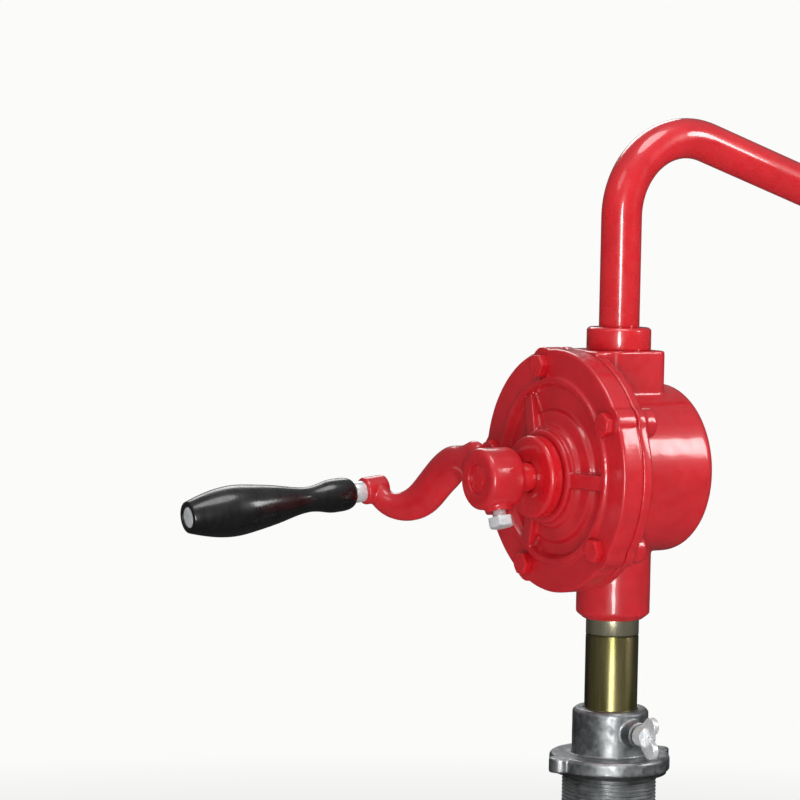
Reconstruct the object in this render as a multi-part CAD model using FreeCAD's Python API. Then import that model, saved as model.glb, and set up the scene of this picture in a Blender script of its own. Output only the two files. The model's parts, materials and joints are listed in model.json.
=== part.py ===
# Hand-cranked rotary drum pump: cast body and cover, vane rotor, S-shaped crank,
# swan-neck spout, telescopic suction tube and a sliding adapter for a drum's bung.
# Units are millimetres. +Z is up. The origin is on the suction axis, where the adapter's
# thread meets its flange. The shaft runs along Y and the crank is on the -Y side.
import FreeCAD, Part
import math
import os

# ---------------------------------------------------------------- overall
shaft_height = 186.0          # shaft axis above the adapter's seat
run_gap = 0.06                # radial clearance of a running or sliding fit
seat_gap = 0.02               # radial clearance of a piece fixed in its hole
free_gap = 0.35               # clearance between pieces that must not touch

# ---------------------------------------------------------------- body casting
barrel_radius = 53.0
rear_wall = 12.0
flange_radius = 75.5
flange_rise = 3.2             # the flanges' and barrel's axis lies this far above the shaft
flange_rear = -27.0           # y of the body flange's rear face
body_flange_thick = 6.7
lobe_radius = 11.5            # widening of both flanges at each bolt
bolt_boss_radius = 9.5
bolt_boss_depth = 9.0
outlet_half_x = 24.0
outlet_half_y = 21.0
outlet_top = 78.0             # top of the outlet block above the shaft axis
outlet_corner = 6.0
web_half_x = 22.0             # web between outlet block and flange
inlet_radius = 23.2
inlet_shoulder = 87.5         # where the inlet boss starts to taper, below the shaft axis
inlet_bottom = 91.6
inlet_tip_radius = 18.0
rear_boss_radius = 20.0
rear_boss_length = 10.0
port_radius = 12.5

# ---------------------------------------------------------------- chamber and rotor
chamber_radius = 42.0
chamber_length = 60.5
eccentricity = 6.0            # the chamber's axis lies this far to +X of the shaft
rotor_side_gap = 0.2
rotor_seal_gap = 0.15
vane_count = 4
vane_thick = 5.0
vane_height = 15.5
vane_gap = 0.1
slot_floor = 14.0             # radius of the slot's floor
spring_wire = 0.7
spring_radius = 1.7
spring_turns = 4
key_width = 5.0
key_length = 34.0
key_height = 5.0

# ---------------------------------------------------------------- cover
cover_thick = 14.0
gasket_thick = 0.8
ridge_outer = 59.0
ridge_inner = 53.5
ridge_height = 2.0
dish_depth = 3.5
cone_radius = 40.0
step_radius = 31.0
step_height = 4.0
boss_radius = 29.0
boss_height = 8.5
rib_thick = 9.0
rib_angles = (90.0, 210.0, 330.0)
bolt_count = 5
bolt_phase = -12.0            # degrees clockwise from the top, seen from the front
bolt_circle = 66.0            # radius
bolt_radius = 4.0
bolt_flats = 13.0
bolt_head = 5.3
bolt_reach = 27.0
spot_radius = 8.6

# ---------------------------------------------------------------- shaft seal and bearings
shaft_radius = 9.0
bush_radius = 13.0
front_bush_length = 11.0
rear_bush_length = 15.0
stuffing_radius = 14.5
stuffing_floor = 14.0         # distance of the stuffing box's floor from the cover's rear face
packing_count = 2
packing_thick = 2.9
nut_radius = 25.5
nut_thick = 9.0
nut_bore_gap = 0.4

# ---------------------------------------------------------------- crank and grip
hub_radius = 19.0
hub_length = 25.0
hub_edge = 3.5
hub_offset = 13.0             # from the packing nut's face to the hub
crank_reach = 106.0           # shaft axis to spindle axis along -X
crank_drop = 16.0             # spindle axis below shaft axis
arm_root_depth = 12.0         # half depth of the arm's oval section at the hub
arm_tip_depth = 7.4
arm_half_thick = 7.3          # half thickness of the arm along the shaft
end_boss_radius = 8.8
end_boss_length = 16.0
end_forward = 21.5            # spindle boss ahead of the hub's middle
droop = 5.3                   # tilt of the spindle towards its free end, degrees
pad_radius = 8.6
pad_drop = 21.0
pad_angle = 20.0              # set bolt's lean from straight down towards +X
set_bolt_flats = 14.0
set_bolt_gap = 3.5            # bare shank between pad and bolt head
set_bolt_head = 6.1
spindle_radius = 4.5
spindle_head_radius = 6.5
spindle_head = 2.5
collar_radius = 6.75
collar_length = 7.5
grip_length = 118.0
grip_bulge = 16.0
grip_waist = 8.0

# ---------------------------------------------------------------- spout
spout_radius = 12.7
spout_wall = 1.6
spout_rise = 161.0            # start of the first bend above the shaft axis
spout_bend = 50.0
spout_first_angle = 108.0
spout_run = 105.0
spout_end = 42.0
socket_radius = 17.0
socket_floor = 63.0
ring_radius = 15.5
ring_thick = 4.0
seal_wire = 1.7
outlet_collar_radius = 20.2
outlet_collar_height = 14.0

# ---------------------------------------------------------------- suction tubes and valve
tube_radius = 16.7
tube_wall = 1.8
tube_length = 450.0           # below the inlet boss
tube_socket = 16.6            # length of tube inside the inlet boss
valve_room = 12.0             # height of the valve chamber above the tube's end
groove_below = 9.5
groove_depth = 0.3
groove_width = 1.2
seat_thick = 4.0
seat_hole = 9.5
seat_hub = 4.5
stem_radius = 2.5
stem_length = 12.0
disc_radius = 12.0
disc_thick = 3.0
washer_thick = 1.5
valve_lift = 4.0
clip_radius = 4.2
clip_thick = 1.2
slide_radius = 13.4
slide_wall = 1.7
slide_length = 440.0
slide_showing = 24.0          # bare extension tube below the lock nut
stop_height = 8.0
lock_nut_radius = 21.0
lock_nut_above = 20.0
lock_nut_below = 9.0
foot_radius = 16.4
foot_grip = 12.0
foot_length = 36.0
foot_wall = 1.8
foot_slots = 6
foot_slot_width = 4.2
screen_thick = 1.0

# ---------------------------------------------------------------- bung adapter
thread_radius = 29.8
thread_length = 24.0
thread_relief = 1.5           # depth of the groove between thread and flange, where the gasket sits
adapter_flange_radius = 38.0
adapter_flange = 9.0
adapter_lugs = 2
lug_radius = 7.0
adapter_collar_radius = 24.0
adapter_height = 38.0
adapter_seal_thick = 2.5
adapter_seal_radius = 36.0
adapter_bore = 24.5
wing_height = 25.0
wing_shank = 4.0
wing_boss_radius = 8.0
wing_boss_reach = 31.0
wing_start = 34.0
wing_length = 15.0
wing_span = 13.0
wing_thick = 4.0

# ---------------------------------------------------------------- places along the shaft
body_face = flange_rear - body_flange_thick
cover_back = body_face - gasket_thick
cover_face = cover_back - cover_thick
chamber_rear = cover_back + chamber_length
barrel_rear = chamber_rear + rear_wall
boss_face = cover_face - boss_height
nut_back = boss_face - 0.5
nut_face = nut_back - nut_thick
hub_back = nut_face - hub_offset
hub_front = hub_back - hub_length
hub_middle = 0.5 * (hub_back + hub_front)
end_middle = hub_middle - end_forward
end_front = end_middle - 0.5 * end_boss_length
collar_front = end_front - collar_length
grip_start = collar_front - free_gap
grip_end = grip_start - grip_length
spindle_x = -crank_reach
spindle_z = -crank_drop
rotor_radius = chamber_radius - eccentricity - rotor_seal_gap
tube_top = tube_socket - inlet_bottom
tube_end = -inlet_bottom - tube_length
lock_nut_end = tube_end - lock_nut_below
slide_end = lock_nut_end - slide_showing
slide_bore = tube_radius - tube_wall
seat_top = tube_top + seat_thick

zero = FreeCAD.Vector(0, 0, 0)
along_x = FreeCAD.Vector(1, 0, 0)
along_y = FreeCAD.Vector(0, 1, 0)
along_z = FreeCAD.Vector(0, 0, 1)


def point(x, y, z):
    return FreeCAD.Vector(x, y, z)


def rod_x(radius, x0, x1, y=0.0, z=0.0):
    return Part.makeCylinder(radius, x1 - x0, point(x0, y, z), along_x)


def rod_y(radius, y0, y1, x=0.0, z=0.0):
    return Part.makeCylinder(radius, y1 - y0, point(x, y0, z), along_y)


def rod_z(radius, z0, z1, x=0.0, y=0.0):
    return Part.makeCylinder(radius, z1 - z0, point(x, y, z0), along_z)


def block(x0, x1, y0, y1, z0, z1):
    return Part.makeBox(x1 - x0, y1 - y0, z1 - z0, point(x0, y0, z0))


def turned(points, axis, centre=zero):
    """Solid of revolution of a closed outline."""
    face = Part.Face(Part.makePolygon(points + [points[0]]))
    return face.revolve(centre, axis, 360)


def turned_y(outline, x=0.0, z=0.0):
    """Outline of (radius, y) pairs turned about a line along Y."""
    return turned([point(x + r, y, z) for r, y in outline], along_y, point(x, 0, z))


def turned_z(outline):
    """Outline of (radius, z) pairs turned about the suction axis."""
    return turned([point(r, 0, z) for r, z in outline], along_z)


def join(shapes):
    return shapes[0].fuse(shapes[1:]).removeSplitter()


def hexagon(flats, start, length, axis, turn=0.0):
    """Hexagonal prism with its first corner turned from the plane's first axis."""
    side = along_x if abs(axis.x) < 0.5 else along_y
    corners = []
    for step in range(7):
        spin = FreeCAD.Rotation(axis, turn + 60.0 * step)
        corners.append(start + spin.multVec(side * (flats / math.sqrt(3))))
    return Part.Face(Part.makePolygon(corners)).extrude(axis * length)


def clock(radius, degrees):
    """x and z of a point on a circle, clockwise from the top seen from the front."""
    turn = math.radians(degrees)
    return radius * math.sin(turn), radius * math.cos(turn)


def bolt_places():
    places = [clock(bolt_circle, bolt_phase + 360.0 / bolt_count * n) for n in range(bolt_count)]
    return [(x, z + flange_rise) for x, z in places]


def aim_bolt(shape):
    """Turn what stands straight below the hub to the set bolt's own angle."""
    shape.rotate(zero, along_y, -pad_angle)
    return shape


def droop_spindle(shape):
    """Tilt what lies along the spindle about the middle of its boss."""
    shape.rotate(point(spindle_x, end_middle, spindle_z), along_x, droop)
    return shape


def save(node, shapes, lift=shaft_height):
    whole = shapes[0] if len(shapes) == 1 else Part.makeCompound(shapes)
    placed = whole.copy()
    placed.translate(point(0, 0, lift))
    placed.exportStep("parts/%s.step" % node)


def edges_along_z(shape, x_reach):
    """Upright edges at least x_reach away from the suction axis."""
    chosen = []
    for edge in shape.Edges:
        ends = [v.Point for v in edge.Vertexes]
        if len(ends) == 2 and (ends[0] - ends[1]).normalize().cross(along_z).Length < 1e-6:
            if min(abs(ends[0].x), abs(ends[1].x)) >= x_reach:
                chosen.append(edge)
    return chosen


# ---------------------------------------------------------------- body and cover
def pump_body():
    flange = [rod_y(flange_radius, body_face, flange_rear, 0.0, flange_rise)]
    for x, z in bolt_places():
        flange.append(rod_y(lobe_radius, body_face, flange_rear, x, z))
        flange.append(rod_y(bolt_boss_radius, body_face, flange_rear + bolt_boss_depth, x, z))
    barrel = rod_y(barrel_radius, body_face, barrel_rear, 0.0, flange_rise)
    back_edge = [e for e in barrel.Edges if e.BoundBox.YMin > barrel_rear - 1.0]
    barrel = barrel.makeFillet(min(6.0, 0.5 * rear_wall), back_edge)
    rear_boss = rod_y(rear_boss_radius, barrel_rear - 2.0, barrel_rear + rear_boss_length)
    tip = [e for e in rear_boss.Edges if e.BoundBox.YMin > barrel_rear + rear_boss_length - 1.0]
    rear_boss = rear_boss.makeFillet(3.0, tip)
    outlet = block(-outlet_half_x, outlet_half_x, -outlet_half_y, outlet_half_y, 0.0, outlet_top)
    outlet = outlet.makeFillet(outlet_corner, edges_along_z(outlet, outlet_half_x - 1.0))
    web = block(-web_half_x, web_half_x, body_face + 1.0, 0.0, 0.0, outlet_top)
    inlet = turned_z([(0.0, 0.0), (inlet_radius, 0.0), (inlet_radius, -inlet_shoulder),
                      (inlet_tip_radius, -inlet_bottom), (0.0, -inlet_bottom)])
    casting = join(flange + [barrel, rear_boss, outlet, web, inlet])

    hollows = [rod_y(chamber_radius, body_face - 1.0, chamber_rear, eccentricity)]
    hollows.append(rod_y(bush_radius, chamber_rear - 1.0, chamber_rear + rear_bush_length + 0.5))
    hollows.append(rod_z(port_radius, tube_top, -0.5 * chamber_radius))
    hollows.append(rod_z(tube_radius + seat_gap, -inlet_bottom - 1.0, tube_top + valve_room))
    hollows.append(rod_z(port_radius, 0.5 * chamber_radius, outlet_top))
    hollows.append(rod_z(socket_radius + seat_gap, socket_floor, outlet_top + 1.0))
    for x, z in bolt_places():
        hollows.append(rod_y(bolt_radius + seat_gap, body_face - 1.0,
                             cover_face + bolt_reach + 1.0, x, z))
    return casting.cut(hollows)


def front_cover():
    dish = cover_face + dish_depth
    rim = [(0.0, cover_back), (flange_radius, cover_back), (flange_radius, cover_face + 1.0),
           (flange_radius - 1.0, cover_face), (ridge_outer, cover_face),
           (ridge_outer - 1.0, cover_face - ridge_height), (ridge_inner + 1.0, cover_face - ridge_height),
           (ridge_inner - 1.5, dish), (0.0, dish)]
    boss = [(0.0, cover_back), (cone_radius + 2.0, cover_back), (cone_radius + 2.0, dish),
            (cone_radius, cover_face), (step_radius + 1.5, cover_face - 1.0),
            (step_radius, cover_face - step_height), (boss_radius, cover_face - step_height),
            (boss_radius, boss_face + 1.0), (boss_radius - 1.0, boss_face), (0.0, boss_face)]
    pieces = [turned_y(rim, 0.0, flange_rise), turned_y(boss)]
    for x, z in bolt_places():
        pieces.append(rod_y(lobe_radius, cover_face, cover_back, x, z))
    for degrees in rib_angles:
        pieces.append(cover_rib(degrees))
    casting = join(pieces)

    cuts = [rod_y(shaft_radius + nut_bore_gap, boss_face - 1.0, cover_back + 1.0)]
    cuts.append(rod_y(bush_radius, cover_back - front_bush_length - 0.1, cover_back + 1.0))
    cuts.append(rod_y(stuffing_radius, boss_face - 1.0, cover_back - stuffing_floor))
    for x, z in bolt_places():
        cuts.append(rod_y(bolt_radius + 0.3, cover_face - 5.0, cover_back + 1.0, x, z))
        cuts.append(rod_y(spot_radius, cover_face - 5.0, cover_face, x, z))
    return casting.cut(cuts)


def cover_rib(degrees):
    """Wedge from the boss down to the ridge, at a clock angle."""
    low = cover_face + dish_depth + 1.0
    outline = [(boss_radius - 3.0, low), (boss_radius - 3.0, boss_face + 1.5),
               (boss_radius + 2.0, boss_face + 2.0), (ridge_inner + 1.5, cover_face - 1.0),
               (ridge_inner + 1.5, low)]
    points = [point(-0.5 * rib_thick, y, r) for r, y in outline]
    rib = Part.Face(Part.makePolygon(points + [points[0]])).extrude(point(rib_thick, 0, 0))
    rib.rotate(zero, along_y, degrees)
    return rib


def cover_gasket():
    ring = rod_y(flange_radius - 1.0, cover_back, body_face, 0.0, flange_rise)
    holes = [rod_y(chamber_radius + 1.0, cover_back - 1.0, body_face + 1.0, eccentricity)]
    for x, z in bolt_places():
        holes.append(rod_y(bolt_radius + 0.3, cover_back - 1.0, body_face + 1.0, x, z))
    return ring.cut(holes)


def hex_bolt(x, z, turn):
    head = hexagon(bolt_flats, point(x, cover_face - bolt_head, z), bolt_head, along_y, turn)
    crown = turned_y([(0.0, cover_face), (bolt_flats, cover_face),
                      (bolt_flats, cover_face - bolt_head + 0.3 * bolt_flats),
                      (0.47 * bolt_flats, cover_face - bolt_head), (0.0, cover_face - bolt_head)], x, z)
    shank = rod_y(bolt_radius, cover_face, cover_face + bolt_reach, x, z)
    return join([head.common(crown), shank])


def cover_bolts():
    turns = [12.0, 37.0, 3.0, 24.0, 50.0]
    return [hex_bolt(x, z, turns[n % len(turns)]) for n, (x, z) in enumerate(bolt_places())]


# ---------------------------------------------------------------- shaft, bearings and seal
def bush(y0, y1):
    return rod_y(bush_radius - seat_gap, y0, y1).cut(rod_y(shaft_radius + run_gap, y0 - 1.0, y1 + 1.0))


def packing_rings():
    rings = []
    floor = cover_back - stuffing_floor
    for n in range(packing_count):
        y1 = floor - n * (packing_thick + 0.1) - 0.05
        ring = rod_y(stuffing_radius - 0.1, y1 - packing_thick, y1)
        rings.append(ring.cut(rod_y(shaft_radius + run_gap, y1 - packing_thick - 1.0, y1 + 1.0)))
    return rings


def packing_nut():
    nose_end = cover_back - stuffing_floor - packing_count * (packing_thick + 0.1) - 0.1
    nose = rod_y(stuffing_radius - seat_gap, nut_back - 1.0, nose_end)
    body = turned_y([(0.0, nut_back), (nut_radius - 0.8, nut_back), (nut_radius, nut_back - 0.8),
                     (nut_radius, nut_face + 1.5), (nut_radius - 1.5, nut_face), (0.0, nut_face)])
    return join([body, nose]).cut(rod_y(shaft_radius + nut_bore_gap, nut_face - 1.0, nose_end + 1.0))


def drive_shaft():
    shaft = rod_y(shaft_radius, hub_front + 1.5, chamber_rear + rear_bush_length - 0.5)
    dimple = aim_bolt(rod_z(3.2, -shaft_radius - 1.0, 1.2 - shaft_radius, 0.0, hub_middle))
    return shaft.cut([key_room(0.0), dimple])


def rotor_middle():
    return 0.5 * (cover_back + chamber_rear)


def key_room(gap):
    half = 0.5 * key_length + gap
    top = shaft_radius + 0.5 * key_height
    return block(-0.5 * key_width - gap, 0.5 * key_width + gap, rotor_middle() - half,
                 rotor_middle() + half, top - key_height - gap, top + gap)


def rotor():
    y0 = cover_back + rotor_side_gap
    y1 = chamber_rear - rotor_side_gap
    drum = rod_y(rotor_radius, y0, y1)
    cuts = [rod_y(shaft_radius + seat_gap, y0 - 1.0, y1 + 1.0)]
    cuts.append(block(-0.5 * key_width - seat_gap, 0.5 * key_width + seat_gap, y0 - 1.0, y1 + 1.0,
                      0.0, shaft_radius + 0.5 * key_height + 0.1))
    half = 0.5 * vane_thick + vane_gap
    for n in range(vane_count):
        slot = block(-half, half, y0 - 1.0, y1 + 1.0, slot_floor, rotor_radius + 1.0)
        slot.rotate(zero, along_y, vane_angle(n))
        cuts.append(slot)
    return drum.cut(cuts)


def vane_angle(n):
    return 45.0 + 360.0 / vane_count * n


def vane(n):
    """A vane held back in its slot, its tip just inside the rotor's skin."""
    tip = rotor_radius - 0.05
    y0 = cover_back + rotor_side_gap + 0.05
    y1 = chamber_rear - rotor_side_gap - 0.05
    plate = block(-0.5 * vane_thick, 0.5 * vane_thick, y0, y1, tip - vane_height, tip + 1.0)
    plate = plate.common(rod_y(tip, y0 - 1.0, y1 + 1.0))
    plate.rotate(zero, along_y, vane_angle(n))
    return plate


def vane_spring(n):
    """Coil spring between the slot's floor and the vane, with its ends clear of both."""
    room = rotor_radius - 0.05 - vane_height - slot_floor
    height = room - spring_wire - 0.2
    helix = Part.makeHelix(height / spring_turns, height, spring_radius)
    wire_end = Part.Wire(Part.makeCircle(0.5 * spring_wire, point(spring_radius, 0, 0), along_y))
    coil = Part.Wire(helix.Edges).makePipeShell([wire_end], True, True)
    coil.translate(point(0, rotor_middle(), slot_floor + 0.5 * spring_wire + 0.1))
    coil.rotate(zero, along_y, vane_angle(n))
    return coil


# ---------------------------------------------------------------- crank and grip
def arm_sections():
    """Oval sections of the S-shaped arm. A station holds its middle's share of the reach, its
    height, its share of the forward offset and its share of the root's depth."""
    stations = [(0.12, 8.0, 0.00, 0.92), (0.30, 6.6, 0.00, 0.96), (0.43, 4.0, 0.00, 1.04),
                (0.52, -1.4, 0.02, 1.12), (0.59, -7.8, 0.07, 1.14), (0.66, -15.6, 0.17, 1.10),
                (0.75, -22.8, 0.34, 0.90), (0.86, -25.4, 0.63, 0.70), (0.94, -21.3, 0.86, 0.62)]
    middles = [point(-reach * crank_reach, hub_middle - forward * end_forward, height)
               for reach, height, forward, depth in stations]
    middles.append(point(spindle_x, end_middle, spindle_z + 1.0))
    depths = [depth * arm_root_depth for reach, height, forward, depth in stations]
    depths.append(arm_tip_depth)
    sections = []
    for n, middle in enumerate(middles):
        ahead = middles[min(n + 1, len(middles) - 1)] - middles[max(n - 1, 0)]
        across = point(-ahead.z, 0, ahead.x).normalize()
        axes = sorted([across * depths[n], along_y * arm_half_thick], key=lambda v: -v.Length)
        oval = Part.Ellipse(middle + axes[0], middle + axes[1], middle)
        sections.append(Part.Wire(oval.toShape()))
    return sections


def crank_arm():
    arm = Part.makeLoft(arm_sections(), True, False)
    hub = rod_y(hub_radius, hub_front, hub_back)
    hub = hub.makeFillet(hub_edge, [e for e in hub.Edges if e.Curve.TypeId == "Part::GeomCircle"])
    pad = aim_bolt(rod_z(pad_radius, -pad_drop, 0.0, 0.0, hub_middle))
    boss = rod_y(end_boss_radius, end_front, end_front + end_boss_length, spindle_x, spindle_z)
    boss = boss.makeFillet(1.5, [e for e in boss.Edges if e.Curve.TypeId == "Part::GeomCircle"])
    boss = droop_spindle(boss)
    casting = join([hub, pad, arm, boss])
    bore = rod_y(shaft_radius + seat_gap, hub_front - 1.0, hub_back + 1.0)
    tapped = aim_bolt(rod_z(bolt_radius + seat_gap, -pad_drop - 1.0, 0.0, 0.0, hub_middle))
    spindle_hole = rod_y(spindle_radius + seat_gap, end_front - 1.0, end_front + end_boss_length + 6.0,
                         spindle_x, spindle_z)
    clear_face = rod_y(collar_radius + 3.0, end_front - 6.0, end_front, spindle_x, spindle_z)
    return casting.cut([bore, tapped, droop_spindle(spindle_hole), droop_spindle(clear_face)])


def crank_set_bolt():
    head_top = -pad_drop - set_bolt_gap
    head = hexagon(set_bolt_flats, point(0, hub_middle, head_top - set_bolt_head), set_bolt_head,
                   along_z, 18.0)
    crown = turned_z([(0.0, head_top), (set_bolt_flats, head_top),
                      (set_bolt_flats, head_top - set_bolt_head + 0.3 * set_bolt_flats),
                      (0.47 * set_bolt_flats, head_top - set_bolt_head), (0.0, head_top - set_bolt_head)])
    crown.translate(point(0, hub_middle, 0))
    shank = rod_z(bolt_radius, head_top, -shaft_radius - 0.05, 0.0, hub_middle)
    tip = rod_z(3.0, -shaft_radius - 0.2, 1.0 - shaft_radius, 0.0, hub_middle)
    return aim_bolt(join([head.common(crown), shank, tip]))


def grip_spindle():
    rod = rod_y(spindle_radius, grip_end + spindle_head, end_front + end_boss_length,
                spindle_x, spindle_z)
    head = rod_y(spindle_head_radius, grip_end + 0.6, grip_end + 0.6 + spindle_head, spindle_x, spindle_z)
    return droop_spindle(join([rod, head]))


def spindle_collar():
    collar = rod_y(collar_radius, collar_front, end_front, spindle_x, spindle_z)
    collar = collar.cut(rod_y(spindle_radius + seat_gap, collar_front - 1.0, end_front + 1.0,
                              spindle_x, spindle_z))
    return droop_spindle(collar)


def grip():
    """Turned grip: a rim at the crank end, a waist, a bulge and a blunt end."""
    shares = [(0.000, 6.8), (0.012, 8.7), (0.040, 10.2), (0.090, 10.7), (0.145, 10.5),
              (0.205, grip_waist + 1.0), (0.26, grip_waist + 0.1), (0.34, grip_waist + 0.8),
              (0.45, 0.48 * (grip_waist + grip_bulge)), (0.60, grip_bulge - 1.5), (0.73, grip_bulge),
              (0.84, grip_bulge - 1.2), (0.94, grip_bulge - 4.0), (1.000, grip_bulge - 6.2)]
    skin = Part.BSplineCurve()
    skin.interpolate([point(r, grip_start - s * grip_length, 0.0) for s, r in shares])
    first = point(shares[0][1], grip_start, 0.0)
    last = point(shares[-1][1], grip_end, 0.0)
    sides = [skin.toShape(), Part.makeLine(last, point(0, grip_end, 0)),
             Part.makeLine(point(0, grip_end, 0), point(0, grip_start, 0)),
             Part.makeLine(point(0, grip_start, 0), first)]
    body = Part.Face(Part.Wire(sides)).revolve(zero, along_y, 360)
    body.translate(point(spindle_x, 0, spindle_z))
    bore = rod_y(spindle_radius + run_gap, grip_end - 1.0, grip_start + 1.0, spindle_x, spindle_z)
    recess = rod_y(spindle_head_radius + free_gap, grip_end - 1.0,
                   grip_end + 0.6 + spindle_head + free_gap, spindle_x, spindle_z)
    return droop_spindle(body.cut([bore, recess]))


# ---------------------------------------------------------------- spout
def spout_path():
    """Up, over in a first bend, along a run, and down through a second bend."""
    turn = math.radians(spout_first_angle)
    base = socket_floor + ring_thick
    top = point(0, 0, spout_rise)
    centre = point(0, spout_bend, spout_rise)

    def on_bend(middle, angle):
        return middle + point(0, -spout_bend * math.cos(angle), spout_bend * math.sin(angle))

    bend_end = on_bend(centre, turn)
    ahead = point(0, math.sin(turn), math.cos(turn))
    run_end = bend_end + ahead * spout_run
    second = centre + ahead * spout_run
    down = on_bend(second, math.pi)
    bottom = down - along_z * spout_end
    return [Part.makeLine(point(0, 0, base), top),
            Part.Arc(top, on_bend(centre, 0.5 * turn), bend_end).toShape(),
            Part.makeLine(bend_end, run_end),
            Part.Arc(run_end, on_bend(second, 0.5 * (turn + math.pi)), down).toShape(),
            Part.makeLine(down, bottom)]


def spout_tube():
    path = Part.Wire(spout_path())
    start = point(0, 0, socket_floor + ring_thick)
    skins = []
    for radius in (spout_radius, spout_radius - spout_wall):
        section = Part.Wire(Part.makeCircle(radius, start, along_z))
        skins.append(path.makePipeShell([section], True, False))
    return skins[0].cut(skins[1])


def spout_ring():
    z0 = socket_floor + ring_thick
    ring = rod_z(ring_radius, z0, z0 + ring_thick)
    return ring.cut(rod_z(spout_radius + seat_gap, z0 - 1.0, z0 + ring_thick + 1.0))


def spout_seal():
    seal_height = socket_floor + free_gap + seal_wire
    return Part.makeTorus(spout_radius + 1.3, seal_wire - 0.05, point(0, 0, seal_height), along_z)


def outlet_collar():
    low = socket_floor + 2.0 * ring_thick + free_gap
    top = outlet_top + outlet_collar_height
    ring = turned_z([(0.0, low), (socket_radius, low), (socket_radius, outlet_top),
                     (outlet_collar_radius, outlet_top), (outlet_collar_radius, top - 1.5),
                     (outlet_collar_radius - 1.5, top), (0.0, top)])
    return ring.cut(rod_z(spout_radius + run_gap, low - 1.0, top + 1.0))


# ---------------------------------------------------------------- suction side
def suction_tube():
    tube = rod_z(tube_radius, tube_end, tube_top)
    groove_top = -inlet_bottom - groove_below
    groove = rod_z(tube_radius + 1.0, groove_top - groove_width, groove_top)
    groove = groove.cut(rod_z(tube_radius - groove_depth, groove_top - 5.0, groove_top + 5.0))
    return tube.cut([rod_z(slide_bore, tube_end - 1.0, tube_top + 1.0), groove])


def valve_seat():
    """Ring on the tube's end with three arms that guide the valve's stem."""
    ring = rod_z(tube_radius, tube_top, seat_top).cut(rod_z(seat_hole, tube_top - 1.0, seat_top + 1.0))
    pieces = [ring, rod_z(seat_hub, tube_top, seat_top - 0.5)]
    for n in range(3):
        arm = block(0.0, seat_hole + 1.0, -1.2, 1.2, tube_top, seat_top - 0.5)
        arm.rotate(zero, along_z, 120.0 * n)
        pieces.append(arm)
    return join(pieces).cut(rod_z(stem_radius + run_gap, tube_top - 1.0, seat_top + 1.0))


def valve_disc():
    base = seat_top + washer_thick
    return join([rod_z(disc_radius, base, base + disc_thick), rod_z(stem_radius, base - stem_length, base)])


def valve_washer():
    z0 = seat_top + 0.02
    washer = rod_z(disc_radius, z0, seat_top + washer_thick - 0.01)
    return washer.cut(rod_z(stem_radius + seat_gap, z0 - 1.0, z0 + washer_thick + 1.0))


def valve_clip():
    top = tube_top - valve_lift - free_gap
    clip = rod_z(clip_radius, top - clip_thick, top)
    return clip.cut(rod_z(stem_radius + seat_gap, top - clip_thick - 1.0, top + 1.0))


def tube_lock_nut():
    z1 = tube_end + lock_nut_above
    nut = turned_z([(0.0, lock_nut_end), (lock_nut_radius - 2.0, lock_nut_end),
                    (lock_nut_radius, lock_nut_end + 2.0), (lock_nut_radius, z1 - 2.0),
                    (lock_nut_radius - 2.0, z1), (0.0, z1)])
    tube_room = rod_z(tube_radius + seat_gap, tube_end - 0.1, z1 + 1.0)
    bore = rod_z(slide_radius + run_gap, lock_nut_end - 1.0, z1)
    seal_room = rod_z(slide_radius + 2.0 * seal_wire + 0.1, tube_end - 5.0, tube_end - 1.0)
    return nut.cut([tube_room, bore, seal_room])


def slide_seal():
    return Part.makeTorus(slide_radius + seal_wire + run_gap, seal_wire, point(0, 0, tube_end - 3.0), along_z)


def extension_tube():
    top = slide_end + slide_length
    tube = rod_z(slide_radius, slide_end, top)
    return tube.cut(rod_z(slide_radius - slide_wall, slide_end - 1.0, top + 1.0))


def stop_ring():
    top = slide_end + slide_length
    ring = rod_z(slide_bore - free_gap, top - stop_height, top)
    return ring.cut(rod_z(slide_radius + seat_gap, top - stop_height - 1.0, top + 1.0))


def foot_strainer():
    """Cup over the tube's end with upright slots and an open foot."""
    top = slide_end + foot_grip
    low = top - foot_length
    cup = turned_z([(0.0, low), (foot_radius - 2.0, low), (foot_radius, low + 2.0),
                    (foot_radius, top - 1.0), (foot_radius - 1.0, top), (0.0, top)])
    cuts = [rod_z(slide_radius + seat_gap, slide_end - 0.1, top + 1.0)]
    cuts.append(rod_z(foot_radius - foot_wall - 1.0, low - 1.0, slide_end))
    for n in range(foot_slots):
        slot = block(0.0, foot_radius + 2.0, -0.5 * foot_slot_width, 0.5 * foot_slot_width,
                     low + 4.0, slide_end - 4.0)
        slot.rotate(zero, along_z, 30.0 + 360.0 / foot_slots * n)
        cuts.append(slot)
    return cup.cut(cuts)


def foot_screen():
    """Round perforated screen across the end of the extension tube."""
    radius = foot_radius - foot_wall - 1.0 - seat_gap
    screen = rod_z(radius, slide_end - screen_thick - 0.15, slide_end - 0.15)
    holes = []
    for ring_number in (1, 2, 3):
        for n in range(6 * ring_number):
            x, y = clock(3.2 * ring_number, 360.0 / (6 * ring_number) * n)
            holes.append(rod_z(0.9, slide_end - 5.0, slide_end + 1.0, x, y))
    return screen.cut(holes)


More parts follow.
